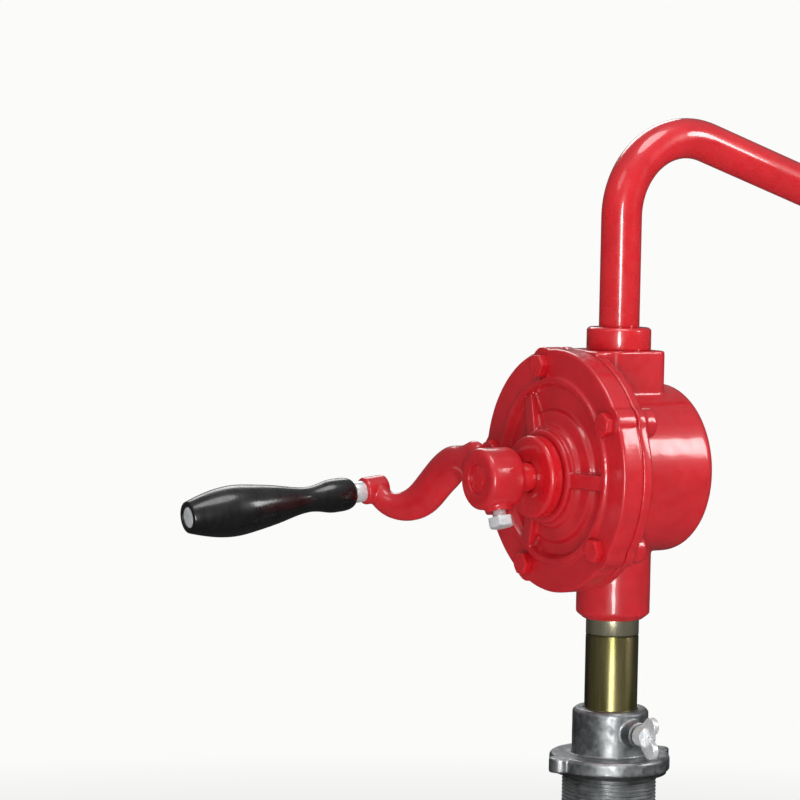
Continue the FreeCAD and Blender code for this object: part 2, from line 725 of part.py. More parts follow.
# ---------------------------------------------------------------- bung adapter, in the seat's frame
def bung_adapter():
    neck = thread_radius - thread_relief
    thread_top = -adapter_seal_thick - 0.1
    pieces = [turned_z([(0.0, -thread_length), (thread_radius - 1.5, -thread_length),
                        (thread_radius, 1.5 - thread_length), (thread_radius, thread_top),
                        (neck, thread_top), (neck, 0.0), (adapter_flange_radius, 0.0),
                        (adapter_flange_radius, adapter_flange - 1.5),
                        (adapter_flange_radius - 1.5, adapter_flange),
                        (adapter_collar_radius, adapter_flange),
                        (adapter_collar_radius, adapter_height - 2.0),
                        (adapter_collar_radius - 2.0, adapter_height), (0.0, adapter_height)])]
    for n in range(adapter_lugs):
        side = 1.0 if n % 2 == 0 else -1.0
        pieces.append(rod_z(lug_radius, 0.0, adapter_flange, 0.0, side * adapter_flange_radius))
    pieces.append(rod_x(wing_boss_radius, 0.0, wing_boss_reach, 0.0, wing_height))
    bore = rod_z(tube_radius + run_gap, -thread_length - 1.0, adapter_height + 1.0)
    relief = rod_z(adapter_bore, -thread_length - 1.0, 0.0)
    seal_room = rod_z(tube_radius + 2.0 * seal_wire + 0.1, 6.0, 10.0)
    screw_hole = rod_x(wing_shank + run_gap, 0.0, wing_boss_reach + 1.0, 0.0, wing_height)
    return join(pieces).cut([bore, relief, seal_room, screw_hole])


def adapter_tube_seal():
    return Part.makeTorus(tube_radius + seal_wire + run_gap, seal_wire, point(0, 0, 8.0), along_z)


def adapter_gasket():
    ring = rod_z(adapter_seal_radius, -adapter_seal_thick, 0.0)
    return ring.cut(rod_z(thread_radius + 0.2, -adapter_seal_thick - 1.0, 1.0))


def wing_screw():
    """Screw that clamps the adapter to the tube, with two rounded wings."""
    shank = rod_x(wing_shank, tube_radius + free_gap, wing_start + 2.0, 0.0, wing_height)
    hub = rod_x(wing_shank + 2.5, wing_boss_reach + 1.0, wing_start + 6.0, 0.0, wing_height)
    pieces = [shank, hub]
    for side in (-1.0, 1.0):
        centre = wing_height + side * (wing_span - 5.5)
        lobe = Part.makeCylinder(5.5, wing_thick, point(wing_start + wing_length - 5.5, -0.5 * wing_thick,
                                                        centre), along_y)
        pieces.append(lobe)
        outline = [point(wing_start + 0.5, -0.5 * wing_thick, wing_height - side * 2.0),
                   point(wing_start + 0.5, -0.5 * wing_thick, wing_height + side * 6.0),
                   point(wing_start + wing_length - 8.5, -0.5 * wing_thick, centre + side * 4.6),
                   point(wing_start + wing_length - 1.6, -0.5 * wing_thick, centre - side * 3.9),
                   point(wing_start + 5.5, -0.5 * wing_thick, wing_height - side * 2.0)]
        plate = Part.Face(Part.makePolygon(outline + [outline[0]])).extrude(point(0, wing_thick, 0))
        pieces.append(plate)
    return join(pieces)


def build():
    os.makedirs("parts", exist_ok=True)
    save("pump_body", [pump_body()])
    save("front_cover", [front_cover()])
    save("cover_gasket", [cover_gasket()])
    save("cover_bolts", cover_bolts())
    save("front_bush", [bush(cover_back - front_bush_length, cover_back)])
    save("rear_bush", [bush(chamber_rear + 0.1, chamber_rear + rear_bush_length)])
    save("packing_rings", packing_rings())
    save("packing_nut", [packing_nut()])
    save("drive_shaft", [drive_shaft()])
    save("rotor", [rotor()])
    save("rotor_key", [key_room(0.0)])
    for n in range(vane_count):
        save("vane_%d" % (n + 1), [vane(n)])
    save("vane_springs", [vane_spring(n) for n in range(vane_count)])
    save("crank_arm", [crank_arm()])
    save("crank_set_bolt", [crank_set_bolt()])
    save("grip_spindle", [grip_spindle()])
    save("spindle_collar", [spindle_collar()])
    save("grip", [grip()])
    save("spout_tube", [spout_tube()])
    save("spout_ring", [spout_ring()])
    save("spout_seal", [spout_seal()])
    save("outlet_collar", [outlet_collar()])
    save("suction_tube", [suction_tube()])
    save("valve_seat", [valve_seat()])
    save("valve_disc", [valve_disc()])
    save("valve_washer", [valve_washer()])
    save("valve_clip", [valve_clip()])
    save("tube_lock_nut", [tube_lock_nut()])
    save("slide_seal", [slide_seal()])
    save("extension_tube", [extension_tube()])
    save("stop_ring", [stop_ring()])
    save("foot_strainer", [foot_strainer()])
    save("foot_screen", [foot_screen()])
    save("bung_adapter", [bung_adapter()], 0.0)
    save("adapter_tube_seal", [adapter_tube_seal()], 0.0)
    save("adapter_gasket", [adapter_gasket()], 0.0)
    save("wing_screw", [wing_screw()], 0.0)


build()
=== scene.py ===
import json
import math

import bmesh
import bpy
from mathutils import Matrix, Vector, noise


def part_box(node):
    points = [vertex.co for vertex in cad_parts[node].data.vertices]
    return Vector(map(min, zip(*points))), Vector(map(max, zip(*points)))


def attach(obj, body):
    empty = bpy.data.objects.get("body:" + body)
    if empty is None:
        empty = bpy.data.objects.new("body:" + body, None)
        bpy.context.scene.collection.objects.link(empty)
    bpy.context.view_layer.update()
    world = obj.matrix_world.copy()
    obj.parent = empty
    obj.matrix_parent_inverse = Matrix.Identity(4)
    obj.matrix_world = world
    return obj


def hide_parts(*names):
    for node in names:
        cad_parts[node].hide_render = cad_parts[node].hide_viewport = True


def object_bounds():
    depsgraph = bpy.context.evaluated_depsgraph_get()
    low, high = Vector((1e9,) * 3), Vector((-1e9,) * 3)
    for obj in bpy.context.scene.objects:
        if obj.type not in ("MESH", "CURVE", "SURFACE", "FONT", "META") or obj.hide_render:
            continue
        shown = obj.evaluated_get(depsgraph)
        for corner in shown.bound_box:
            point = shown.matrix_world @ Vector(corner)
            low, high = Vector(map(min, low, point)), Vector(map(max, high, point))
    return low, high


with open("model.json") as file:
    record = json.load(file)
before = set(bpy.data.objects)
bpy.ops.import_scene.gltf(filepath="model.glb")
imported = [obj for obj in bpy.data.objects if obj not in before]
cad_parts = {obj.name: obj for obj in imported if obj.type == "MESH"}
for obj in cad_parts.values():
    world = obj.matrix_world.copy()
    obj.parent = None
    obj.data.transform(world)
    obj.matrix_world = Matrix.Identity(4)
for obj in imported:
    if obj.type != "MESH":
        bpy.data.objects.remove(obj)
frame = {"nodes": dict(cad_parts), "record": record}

nodes = frame["nodes"]
cadLow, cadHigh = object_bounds()
mm = 0.001
joints = {joint["name"]: joint for joint in frame["record"]["behaviour"]["joints"]}
shaftHeight = joints["crank_turn"]["pos_m"][2]
weldGap = 0.004 * mm  # corners nearer than this are one corner
flatAngle = math.radians(0.6)  # faces that turn less than this are merged


def hexToLinear(code):
    channels = [int(code[i:i + 2], 16) / 255 for i in (1, 3, 5)]
    return [c / 12.92 if c <= 0.04045 else ((c + 0.055) / 1.055) ** 2.4 for c in channels] + [1.0]


def addNode(tree, kind, settings=None, links=None):
    # A setting is a property of the node where it has one of that name, or else a socket's value.
    node = tree.nodes.new(kind)
    for name, value in (settings or {}).items():
        if isinstance(name, str) and hasattr(node, name):
            setattr(node, name, value)
        else:
            node.inputs[name].default_value = value
    for name, source in (links or {}).items():
        tree.links.new(node.inputs[name], source)
    return node


def setRamp(ramp, stops):
    # stops: (place, colour) pairs in order
    elements = ramp.color_ramp.elements
    while len(elements) < len(stops):
        elements.new(0.5)
    for element, (place, colour) in zip(elements, stops):
        element.position = place
        element.color = colour


# shader: constants on the Principled shader. colours: from the pattern's low to its high.
# hollows: painted shade, a darker colour that ambient occlusion lays into corners and recesses. worn:
# colour on rubbed edges.
# paintedLightBand: painted light, a pale stretch that lightens the tube just under the pump's body where
# the body shades it; how far it reaches down, and its colour.
# specks: their colour, and a share near 1 that leaves only a few of them.
# mottle: size of the colour patches. stretch: the pattern's scale along X, Y and Z, so that
# a small number draws it out along that axis. roughness: lowest, highest, patch size.
# bumps: (size, height, stretched or not) of each layer. All sizes are in millimetres.
plain = (1, 1, 1)
finishes = {
    # Alkyd enamel sprayed on a sand casting: deep red, wet gloss, soft orange peel over sand grain.
    "red_enamel": dict(
        name="redEnamelOnCastIron",
        shader={"Metallic": 0.0, "Coat Weight": 0.75, "Coat Roughness": 0.1, "Coat IOR": 1.5,
                "IOR": 1.5},
        colours=["#b8101c", "#bf131f", "#c61722"], mottle=24, stretch=plain, roughness=(0.28, 0.42, 7),
        bumps=[(4.5, 0.04, False), (0.9, 0.009, False)],
        hollows="#7c0a11", specks=("#9a0e16", 0.97)),
    # The same enamel on smooth bent tube and turned parts: glassier, with a faint drawn grain, and painted
    # light: its colours are a shade lighter than the castings' red.
    "red_enamel_smooth": dict(
        name="redEnamelOnTubePaintedLighter",
        shader={"Metallic": 0.0, "Coat Weight": 0.9, "Coat Roughness": 0.045, "Coat IOR": 1.52,
                "IOR": 1.5},
        colours=["#c2121d", "#c91620", "#cf1a24"], mottle=30, stretch=plain, roughness=(0.22, 0.34, 9),
        bumps=[(6.0, 0.022, False), (1.0, 0.005, False)], specks=("#9a0e16", 0.975)),
    # Turned beech dipped in black lacquer: near black, long highlights, faint lathe rings.
    "black_lacquer": dict(
        name="blackLacquerOnTurnedWood",
        shader={"Metallic": 0.0, "Coat Weight": 0.5, "Coat Roughness": 0.13, "IOR": 1.48},
        colours=["#050506", "#09090a", "#0e0e0f"], mottle=9, stretch=(0.25, 1, 0.25),
        roughness=(0.25, 0.4, 5), bumps=[(2.4, 0.016, True), (0.8, 0.005, False)],
        specks=("#2c2c2e", 0.95)),
    # Bright zinc plating on turned steel: blue-white, slightly cloudy.
    "zinc_screw": dict(
        name="brightZincPlatedSteel", shader={"Metallic": 0.55, "Coat Weight": 0.0},
        colours=["#dcdfe0", "#ebedee", "#f6f7f7"], mottle=3.2, stretch=plain, roughness=(0.28, 0.46, 2.5),
        bumps=[(0.8, 0.006, False)], specks=("#8b8f90", 0.9)),
    # Yellow chromate over zinc on drawn tube: olive and straw bands along the tube.
    "yellow_zinc": dict(
        name="yellowZincPlatedTube", shader={"Metallic": 1.0, "Coat Weight": 0.0},
        colours=["#5f5c33", "#7d7848", "#8f8759", "#958664"], mottle=7, stretch=(1, 1, 0.06),
        roughness=(0.2, 0.34, 6), bumps=[(0.9, 0.006, True), (0.5, 0.003, False)],
        specks=("#57522f", 0.93), paintedLightBand=(8.8, "#efe6c4")),
    # Zinc-plated iron casting, not painted: grey, sand-grained, dull sheen.
    "zinc_casting": dict(
        name="zincPlatedCasting", shader={"Metallic": 1.0, "Coat Weight": 0.0},
        colours=["#85888a", "#9fa2a3", "#b4b6b6"], mottle=11, stretch=plain, roughness=(0.36, 0.56, 4),
        bumps=[(2.2, 0.05, False), (0.7, 0.02, False)], hollows="#5f6264", worn="#c6c8c8",
        specks=("#5f605f", 0.88)),
    # Ground steel: bright, with fine grinding lines around it.
    "ground_steel": dict(
        name="groundSteel", shader={"Metallic": 1.0, "Coat Weight": 0.0},
        colours=["#8f9193", "#a7a9aa", "#bcbdbe"], mottle=6, stretch=(0.2, 1, 0.2),
        roughness=(0.2, 0.34, 3), bumps=[(0.5, 0.004, True)], specks=("#6d6e6f", 0.93)),
    # Drawn spring wire: dark, oiled.
    "spring_steel": dict(
        name="oiledSpringWire", shader={"Metallic": 1.0, "Coat Weight": 0.0},
        colours=["#4a4c50", "#5e6064", "#6d6f72"], mottle=3, stretch=plain, roughness=(0.25, 0.4, 2),
        bumps=[(0.5, 0.004, False)], specks=("#3b3633", 0.9)),
    # Machined grey iron: dark grey with turning marks and graphite specks.
    "cast_iron": dict(
        name="machinedGreyIron", shader={"Metallic": 1.0, "Coat Weight": 0.0},
        colours=["#5a5b5c", "#6b6c6d", "#7b7c7c"], mottle=5, stretch=plain, roughness=(0.34, 0.5, 3),
        bumps=[(0.7, 0.01, False)], specks=("#323232", 0.82)),
    # Cast leaded bronze, turned: warm yellow-brown with fine turning lines.
    "bronze": dict(
        name="turnedBronze", shader={"Metallic": 1.0, "Coat Weight": 0.0},
        colours=["#a5763c", "#b98a4c", "#cba060"], mottle=6, stretch=(1, 1, 0.2), roughness=(0.24, 0.4, 3),
        bumps=[(0.5, 0.006, True)], specks=("#7a5527", 0.92)),
    # Glass-filled nylon: black, matt, slightly grainy.
    "vane_plastic": dict(
        name="glassFilledNylon", shader={"Metallic": 0.0, "Coat Weight": 0.0, "IOR": 1.53},
        colours=["#17181a", "#1f2022", "#28292b"], mottle=6, stretch=plain, roughness=(0.42, 0.6, 2),
        bumps=[(0.9, 0.02, False)], specks=("#46474a", 0.9)),
    # Moulded nitrile: black, dull.
    "nitrile": dict(
        name="mouldedNitrile", shader={"Metallic": 0.0, "Coat Weight": 0.0, "IOR": 1.52},
        colours=["#101011", "#161617", "#1d1d1e"], mottle=5, stretch=plain, roughness=(0.5, 0.7, 2),
        bumps=[(0.8, 0.015, False)], specks=("#303030", 0.9)),
    # Oiled gasket paper: brown-grey felted fibre.
    "gasket_paper": dict(
        name="oiledGasketPaper", shader={"Metallic": 0.0, "Coat Weight": 0.0, "IOR": 1.45},
        colours=["#3b3227", "#4b4033", "#5a4d3e"], mottle=2.5, stretch=plain, roughness=(0.6, 0.8, 2),
        bumps=[(0.6, 0.03, False)], specks=("#7a6b58", 0.85)),
    # Graphited braid: dark, greasy sheen.
    "packing": dict(
        name="graphitedBraid", shader={"Metallic": 0.35, "Coat Weight": 0.0, "IOR": 1.5},
        colours=["#242422", "#31312f", "#3f3f3c"], mottle=1.8, stretch=plain, roughness=(0.38, 0.55, 1.5),
        bumps=[(1.6, 0.15, False)], specks=("#5e5e5a", 0.85)),
}


def makeFinish(look):
    material = bpy.data.materials.new(look["name"])
    material.use_nodes = True
    tree = material.node_tree
    tree.nodes.clear()
    place = addNode(tree, "ShaderNodeTexCoord").outputs["Object"]
    drawn = addNode(tree, "ShaderNodeMapping", {"Scale": look["stretch"]}, {"Vector": place}).outputs[0]

    # colour: patches, painted shade darkening corners and recesses, lighter worn edges, then sparse specks
    patches = addNode(tree, "ShaderNodeTexNoise",
                      {"Scale": 1 / (look["mottle"] * mm), "Detail": 4.0, "Roughness": 0.6},
                      {"Vector": drawn})
    patchRamp = addNode(tree, "ShaderNodeValToRGB", None, {"Fac": patches.outputs[0]})
    steps = len(look["colours"]) - 1
    setRamp(patchRamp, [(0.36 + 0.28 * n / steps, hexToLinear(c)) for n, c in enumerate(look["colours"])])
    surface = patchRamp.outputs[0]
    # painted shade: where ambient occlusion finds a corner or recess, the colour is darkened
    if "hollows" in look:
        corner = addNode(tree, "ShaderNodeAmbientOcclusion",
                         {"samples": 8, "only_local": True, "Distance": 7 * mm})
        hollow = addNode(tree, "ShaderNodeMapRange",
                         {"From Min": 0.75, "From Max": 0.35, "To Min": 0.0, "To Max": 0.7},
                         {"Value": corner.outputs["AO"]})
        cornerShaded = addNode(tree, "ShaderNodeMix", {"data_type": "RGBA", 7: hexToLinear(look["hollows"])},
                         {0: hollow.outputs[0], 6: surface})
        surface = cornerShaded.outputs[2]
    if "worn" in look:
        curved = addNode(tree, "ShaderNodeNewGeometry").outputs["Pointiness"]
        edge = addNode(tree, "ShaderNodeMapRange",
                       {"From Min": 0.53, "From Max": 0.62, "To Min": 0.0, "To Max": 0.4},
                       {"Value": curved})
        rubbed = addNode(tree, "ShaderNodeMix", {"data_type": "RGBA", 7: hexToLinear(look["worn"])},
                         {0: edge.outputs[0], 6: surface})
        surface = rubbed.outputs[2]
    # painted light: the tube just under the pump's body is painted pale, where the body's shadow would
    # darken it
    if "paintedLightBand" in look:
        depth, pale = look["paintedLightBand"]
        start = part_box("pump_body")[0][2] - depth * mm
        height = addNode(tree, "ShaderNodeSeparateXYZ", None, {0: place}).outputs[2]
        above = addNode(tree, "ShaderNodeMapRange",
                        {"From Min": start - 0.4 * mm, "From Max": start}, {"Value": height})
        bandLightened = addNode(tree, "ShaderNodeMix", {"data_type": "RGBA", 7: hexToLinear(pale)},
                         {0: above.outputs[0], 6: surface})
        surface = bandLightened.outputs[2]
    speckColour, speckFrom = look["specks"]
    speckSpots = addNode(tree, "ShaderNodeTexVoronoi", {"Scale": 1 / (4.5 * mm)}, {"Vector": place})
    speckPick = addNode(tree, "ShaderNodeSeparateColor", None, {0: speckSpots.outputs["Color"]})
    chosen = addNode(tree, "ShaderNodeMath", {"operation": "GREATER_THAN", 1: speckFrom},
                     {0: speckPick.outputs[0]})
    near = addNode(tree, "ShaderNodeMapRange",
                   {"From Min": 0.09, "From Max": 0.05, "To Min": 0.0, "To Max": 0.6},
                   {"Value": speckSpots.outputs["Distance"]})
    speck = addNode(tree, "ShaderNodeMath", {"operation": "MULTIPLY"},
                    {0: chosen.outputs[0], 1: near.outputs[0]})
    colour = addNode(tree, "ShaderNodeMix", {"data_type": "RGBA", 7: hexToLinear(speckColour)},
                     {0: speck.outputs[0], 6: surface})

    low, high, patch = look["roughness"]
    rough = addNode(tree, "ShaderNodeTexNoise", {"Scale": 1 / (patch * mm), "Detail": 3.0},
                    {"Vector": drawn})
    roughness = addNode(tree, "ShaderNodeMapRange",
                        {"From Min": 0.35, "From Max": 0.65, "To Min": low, "To Max": high},
                        {"Value": rough.outputs[0]})

    normal = None
    for size, height, isDrawn in look["bumps"]:
        grain = addNode(tree, "ShaderNodeTexNoise", {"Scale": 1 / (size * mm), "Detail": 2.0},
                        {"Vector": drawn if isDrawn else place})
        links = {"Height": grain.outputs[0]}
        if normal:
            links["Normal"] = normal
        bump = addNode(tree, "ShaderNodeBump", {"Distance": height * mm, "Strength": 1.0}, links)
        normal = bump.outputs[0]

    shader = addNode(tree, "ShaderNodeBsdfPrincipled", look["shader"],
                     {"Base Color": colour.outputs[2], "Roughness": roughness.outputs[0], "Normal": normal})
    if look["shader"]["Coat Weight"]:
        tree.links.new(shader.inputs["Coat Normal"], normal)
    addNode(tree, "ShaderNodeOutputMaterial", None, {"Surface": shader.outputs[0]})
    return material


finish = {slot: makeFinish(look) for slot, look in finishes.items()}
slotOf = {name: node.material_slots[0].material.name.split(".")[0] for name, node in nodes.items()}
bodyOf = {name: body for body, names in frame["record"]["behaviour"]["bodies"].items() for name in names}
for name, node in nodes.items():
    node.material_slots[0].material = finish[slotOf[name]]
print("finishes made:", len(finish))


def copyNode(node, name):
    mesh = nodes[node].data.copy()
    mesh.name = name
    work = bmesh.new()
    work.from_mesh(mesh)
    bmesh.ops.remove_doubles(work, verts=work.verts, dist=weldGap)
    bmesh.ops.dissolve_limit(work, angle_limit=flatAngle, verts=work.verts, edges=work.edges)
    work.to_mesh(mesh)
    work.free()
    if "custom_normal" in mesh.attributes:
        mesh.attributes.remove(mesh.attributes["custom_normal"])
    piece = bpy.data.objects.new(name, mesh)
    bpy.context.collection.objects.link(piece)
    return piece


def bakeModifiers(piece):
    graph = bpy.context.evaluated_depsgraph_get()
    done = bpy.data.meshes.new_from_object(piece.evaluated_get(graph))
    old = piece.data
    piece.modifiers.clear()
    piece.data = done
    bpy.data.meshes.remove(old)
    done.name = piece.name


def smoothShade(piece, degrees):
    piece.data.shade_smooth()
    piece.data.set_sharp_from_angle(angle=math.radians(degrees))


def standFor(piece, node, wears=None):
    piece.data.materials.clear()
    piece.data.materials.append(finish[wears or slotOf[node]])
    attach(piece, bodyOf[node])
    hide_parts(node)


# Castings get rounded corners and hollows and a slightly uneven skin, as sand leaves them.
# voxel: fineness of the skin. relax: rounds of smoothing. ripple: height and size of its waves.
# most: how many triangles it may keep.
castings = {
    "pump_body": dict(name="pumpBodyCasting", voxel=0.95, relax=5, ripple=(0.1, 14), most=190000),
    "front_cover": dict(name="coverCasting", voxel=0.7, relax=3, ripple=(0.1, 12), most=190000),
    "crank_arm": dict(name="crankCasting", voxel=0.55, relax=7, ripple=(0.1, 11), most=150000),
    "bung_adapter": dict(name="adapterCasting", voxel=0.7, relax=5, ripple=(0.06, 8), most=120000),
    "wing_screw": dict(name="wingScrewCasting", voxel=0.35, relax=5, ripple=(0.04, 5), most=60000),
}


def makeCasting(node, size):
    piece = copyNode(node, size["name"])
    coarser = 1.0
    if node == "bung_adapter":
        shrinkThreadRoot(piece)
    skin = piece.modifiers.new("skin", "REMESH")
    skin.mode = "VOXEL"
    skin.voxel_size = size["voxel"] * coarser * mm
    relax = piece.modifiers.new("relax", "SMOOTH")
    relax.factor = 0.5
    relax.iterations = size["relax"]
    bakeModifiers(piece)
    height, wave = size["ripple"]
    outward = [vertex.normal.copy() for vertex in piece.data.vertices]
    for vertex, normal in zip(piece.data.vertices, outward):
        vertex.co += normal * noise.noise(vertex.co / (wave * mm)) * height * mm
    faces = 2 * len(piece.data.polygons)
    if faces > size["most"]:
        thin = piece.modifiers.new("thin", "DECIMATE")
        thin.ratio = size["most"] / faces
        bakeModifiers(piece)
    piece.data.shade_smooth()
    standFor(piece, node)
    print(size["name"], len(piece.data.polygons), "faces")


# The adapter's thread: the root is turned down and a ridge is wound on it. stand: the ridge's
# middle above the root. rootBand and below: what counts as the thread's wall.
thread = {"root": 28.3, "pitch": 2.309, "from": -22.6, "to": -3.2, "stand": 0.35, "ridge": 1.1,
          "steps": 90, "rootBand": 0.3, "below": -0.5}


def shrinkThreadRoot(piece):
    for vertex in piece.data.vertices:
        reach = math.hypot(vertex.co.x, vertex.co.y)
        if reach > (thread["root"] - thread["rootBand"]) * mm and vertex.co.z < thread["below"] * mm:
            vertex.co.x *= thread["root"] * mm / reach
            vertex.co.y *= thread["root"] * mm / reach


for node, size in castings.items():
    makeCasting(node, size)

# Turned and bent pieces keep their crisp shape, with broken edges.
# edge: width of the broken edge. sharp: angle in degrees over which an edge counts as one.
# The pump is sprayed once it is assembled, so the shaft, the gasket's rim and the nuts are red.
turned = {
    "packing_nut": dict(name="packingNut", edge=0.6, sharp=28, wears="red_enamel_smooth"),
    "outlet_collar": dict(name="outletCollar", edge=0.5, sharp=28, wears="red_enamel_smooth"),
    "tube_lock_nut": dict(name="tubeLockNut", edge=0.3, sharp=28),
    "crank_set_bolt": dict(name="crankSetBolt", edge=0.3, sharp=25),
    "spindle_collar": dict(name="spindleCollar", edge=0.4, sharp=35),
    "grip_spindle": dict(name="gripSpindle", edge=0.4, sharp=35),
    "grip": dict(name="gripTurning", edge=0.5, sharp=40),
    "drive_shaft": dict(name="driveShaft", edge=0.3, sharp=35, wears="red_enamel_smooth"),
    "cover_gasket": dict(name="coverGasket", edge=0.1, sharp=35, wears="red_enamel_smooth"),
    "spout_tube": dict(name="spoutTube", edge=0.35, sharp=40, wears="red_enamel_smooth"),
    "suction_tube": dict(name="suctionTube", edge=0.25, sharp=35),
    "extension_tube": dict(name="extensionTube", edge=0.25, sharp=35),
    "foot_strainer": dict(name="footStrainer", edge=0.3, sharp=35),
}


def makeTurned(node, size):
    piece = copyNode(node, size["name"])
    broken = piece.modifiers.new("broken edge", "BEVEL")
    broken.width = size["edge"] * mm
    broken.segments = 2
    broken.limit_method = "ANGLE"
    broken.angle_limit = math.radians(size["sharp"])
    broken.harden_normals = False
    bakeModifiers(piece)
    smoothShade(piece, 50)
    standFor(piece, node, size.get("wears"))


for node, size in turned.items():
    makeTurned(node, size)
print("turned pieces:", len(turned))


def startTree(name, sizes):
    # sizes: (label, socket type, value)
    tree = bpy.data.node_groups.new(name, "GeometryNodeTree")
    tree.interface.new_socket("Geometry", in_out="INPUT", socket_type="NodeSocketGeometry")
    for label, kind, value in sizes:
        socket = tree.interface.new_socket(label, in_out="INPUT", socket_type=kind)
        if value is not None:
            socket.default_value = value
    tree.interface.new_socket("Geometry", in_out="OUTPUT", socket_type="NodeSocketGeometry")
    return tree, addNode(tree, "NodeGroupInput").outputs


def endTree(tree, geometry, material):
    realised = addNode(tree, "GeometryNodeRealizeInstances", None, {0: geometry})
    painted = addNode(tree, "GeometryNodeSetMaterial", None,
                      {"Geometry": realised.outputs[0], "Material": material})
    addNode(tree, "NodeGroupOutput", None, {0: painted.outputs[0]})


def growPiece(name, tree, sizes, points=((0, 0, 0),)):
    mesh = bpy.data.meshes.new(name)
    mesh.from_pydata([tuple(p) for p in points], [], [])
    piece = bpy.data.objects.new(name, mesh)
    bpy.context.collection.objects.link(piece)
    modifier = piece.modifiers.new(name, "NODES")
    modifier.node_group = tree
    for item in tree.interface.items_tree:
        if item.in_out == "INPUT" and item.name in sizes:
            modifier[item.identifier] = sizes[item.name]
    bakeModifiers(piece)
    return piece


def boltHeadTree():
    tree, given = startTree("boltHeads", [
        ("Across Flats", "NodeSocketFloat", 0.013), ("Height", "NodeSocketFloat", 0.0053),
        ("Face Share", "NodeSocketFloat", 0.9), ("Seed", "NodeSocketInt", 4),
        ("Material", "NodeSocketMaterial", None)])
    corner = addNode(tree, "ShaderNodeMath", {"operation": "MULTIPLY", 1: 1 / math.sqrt(3)},
                     {0: given["Across Flats"]})
    prism = addNode(tree, "GeometryNodeMeshCylinder", {"Vertices": 6},
                    {"Radius": corner.outputs[0], "Depth": given["Height"]})
    half = addNode(tree, "ShaderNodeMath", {"operation": "MULTIPLY", 1: 0.5}, {0: given["Across Flats"]})
    faceRadius = addNode(tree, "ShaderNodeMath", {"operation": "MULTIPLY"},
                         {0: half.outputs[0], 1: given["Face Share"]})
    wide = addNode(tree, "ShaderNodeMath", {"operation": "ADD"},
                   {0: faceRadius.outputs[0], 1: given["Height"]})
    wider = addNode(tree, "ShaderNodeMath", {"operation": "ADD"}, {0: wide.outputs[0], 1: given["Height"]})
    crown = addNode(tree, "GeometryNodeMeshCone", {"Vertices": 48},
                    {"Radius Top": faceRadius.outputs[0], "Radius Bottom": wider.outputs[0],
                     "Depth": given["Height"]})
    low = addNode(tree, "ShaderNodeMath", {"operation": "MULTIPLY", 1: -0.5}, {0: given["Height"]})
    down = addNode(tree, "ShaderNodeCombineXYZ", None, {2: low.outputs[0]})
    crownPlaced = addNode(tree, "GeometryNodeTransform", None,
                          {"Geometry": crown.outputs[0], "Translation": down.outputs[0]})
    head = addNode(tree, "GeometryNodeMeshBoolean", {"operation": "INTERSECT", "solver": "EXACT"})
    tree.links.new(head.inputs["Mesh 2"], prism.outputs[0])
    tree.links.new(head.inputs["Mesh 2"], crownPlaced.outputs[0])
    spin = addNode(tree, "FunctionNodeRandomValue", {"data_type": "FLOAT_VECTOR"}, {"Seed": given["Seed"]})
    spin.inputs[0].default_value = (math.pi / 2, 0, 0)
    spin.inputs[1].default_value = (math.pi / 2, math.pi / 3, 0)
    heads = addNode(tree, "GeometryNodeInstanceOnPoints", None,
                    {"Points": given["Geometry"], "Instance": head.outputs[0],
                     "Rotation": spin.outputs[0]})
    endTree(tree, heads.outputs[0], given["Material"])
    return tree


def threadTree():
    tree, given = startTree("screwThread", [
        ("Turns", "NodeSocketFloat", 8.0), ("Middle Radius", "NodeSocketFloat", 0.0285),
        ("Length", "NodeSocketFloat", 0.019), ("Ridge", "NodeSocketFloat", 0.0011),
        ("Steps", "NodeSocketInt", 96), ("Material", "NodeSocketMaterial", None)])
    helix = addNode(tree, "GeometryNodeCurveSpiral", None,
                    {"Resolution": given["Steps"], "Rotations": given["Turns"],
                     "Start Radius": given["Middle Radius"], "End Radius": given["Middle Radius"],
                     "Height": given["Length"]})
    upright = addNode(tree, "GeometryNodeSetCurveNormal", None, {"Curve": helix.outputs[0]})
    upright.mode = "Z_UP"
    profile = addNode(tree, "GeometryNodeCurvePrimitiveCircle", {"Resolution": 4},
                      {"Radius": given["Ridge"]})
    ridge = addNode(tree, "GeometryNodeCurveToMesh", {"Fill Caps": True},
                    {"Curve": upright.outputs[0], "Profile Curve": profile.outputs[0]})
    endTree(tree, ridge.outputs[0], given["Material"])
    return tree


def ribTree():
    tree, given = startTree("gripRibs", [
        ("Count", "NodeSocketInt", 36), ("Ring Radius", "NodeSocketFloat", 0.021),
        ("Rib Radius", "NodeSocketFloat", 0.0009), ("Rib Length", "NodeSocketFloat", 0.02),
        ("Material", "NodeSocketMaterial", None)])
    ring = addNode(tree, "GeometryNodeMeshCircle", None,
                   {"Vertices": given["Count"], "Radius": given["Ring Radius"]})
    rib = addNode(tree, "GeometryNodeMeshCylinder", {"Vertices": 12, "Side Segments": 1},
                  {"Radius": given["Rib Radius"], "Depth": given["Rib Length"]})
    ribs = addNode(tree, "GeometryNodeInstanceOnPoints", None,
                   {"Points": ring.outputs[0], "Instance": rib.outputs[0]})
    endTree(tree, ribs.outputs[0], given["Material"])
    return tree


def shiftMesh(piece, matrix):
    piece.data.transform(matrix)
    piece.data.update()


def islandBoxes(node):
    # lowest and highest corners of each separate solid in a node
    work = bmesh.new()
    work.from_mesh(nodes[node].data)
    bmesh.ops.remove_doubles(work, verts=work.verts, dist=weldGap)
    left = set(work.verts)
    boxes = []
    while left:
        seen = {left.pop()}
        edgeOn = list(seen)
        while edgeOn:
            vertex = edgeOn.pop()
            for edge in vertex.link_edges:
                other = edge.other_vert(vertex)
                if other not in seen:
                    seen.add(other)
                    edgeOn.append(other)
        left -= seen
        places = [v.co for v in seen]
        boxes.append([Vector([pick(p[i] for p in places) for i in range(3)]) for pick in (min, max)])
    work.free()
    return sorted(boxes, key=lambda box: (box[0].z, box[0].x))


